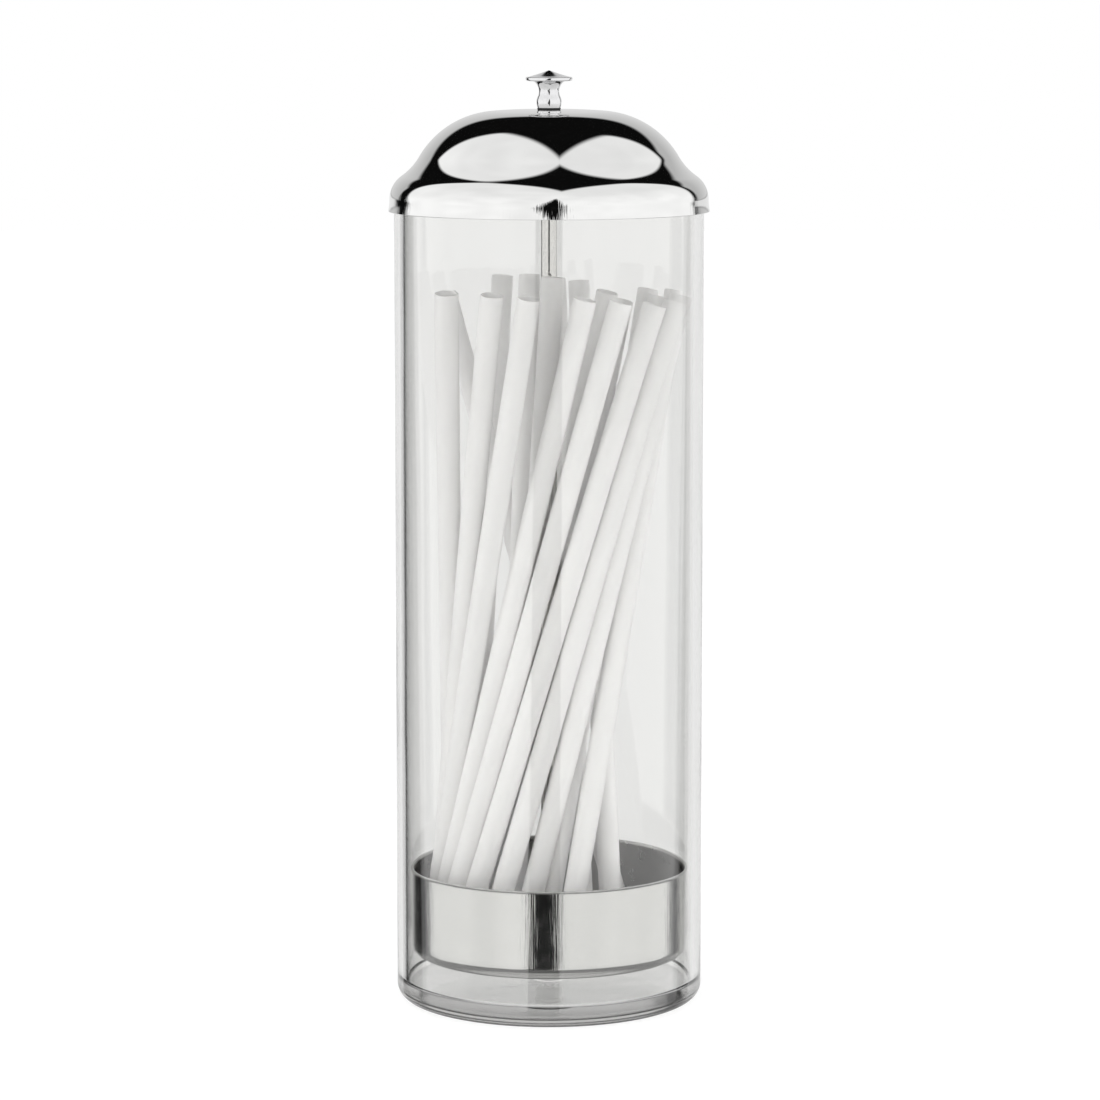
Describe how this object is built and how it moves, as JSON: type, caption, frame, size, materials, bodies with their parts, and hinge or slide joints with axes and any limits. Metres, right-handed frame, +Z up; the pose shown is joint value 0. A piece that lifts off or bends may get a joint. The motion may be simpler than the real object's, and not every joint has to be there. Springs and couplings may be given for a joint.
{
  "type": "straw dispenser",
  "caption": "Clear upright straw dispenser: a round jar with a domed metal lid whose knob lifts a tray of straws on a central rod.",
  "frame": {"origin": "middle of the jar's underside, where the dispenser stands", "axes": "+Z up along the jar's axis and the rod, towards the knob; -Y towards the side shown in front"},
  "size_m": [0.1, 0.1, 0.2928],
  "materials": {
    "clear_plastic": "clear and glossy",
    "polished_steel": "mirror polished",
    "satin_steel": "satin",
    "black_rubber": "matt",
    "white_straw": "smooth, slightly glossy"
  },
  "bodies": {
    "jar": {"jar": "clear_plastic"},
    "lift": {"lid": "polished_steel", "lid_washer": "satin_steel", "knob_washer": "black_rubber", "knob": "polished_steel", "rod": "satin_steel", "tray_upper_washer": "satin_steel", "tray": "satin_steel", "tray_lower_washer": "satin_steel", "tray_nut": "satin_steel", "straw_01": "white_straw", "straw_02": "white_straw", "straw_03": "white_straw", "straw_04": "white_straw", "straw_05": "white_straw", "straw_06": "white_straw", "straw_07": "white_straw", "straw_08": "white_straw", "straw_09": "white_straw", "straw_10": "white_straw", "straw_11": "white_straw", "straw_12": "white_straw", "straw_13": "white_straw", "straw_14": "white_straw", "straw_15": "white_straw", "straw_16": "white_straw", "straw_17": "white_straw", "straw_18": "white_straw", "straw_19": "white_straw"}
  },
  "joints": [
    {"name": "lid_lift", "type": "slide", "parent": "jar", "child": "lift", "axis": [0, 0, 1], "range_m": [0, 0.26]}
  ]
}
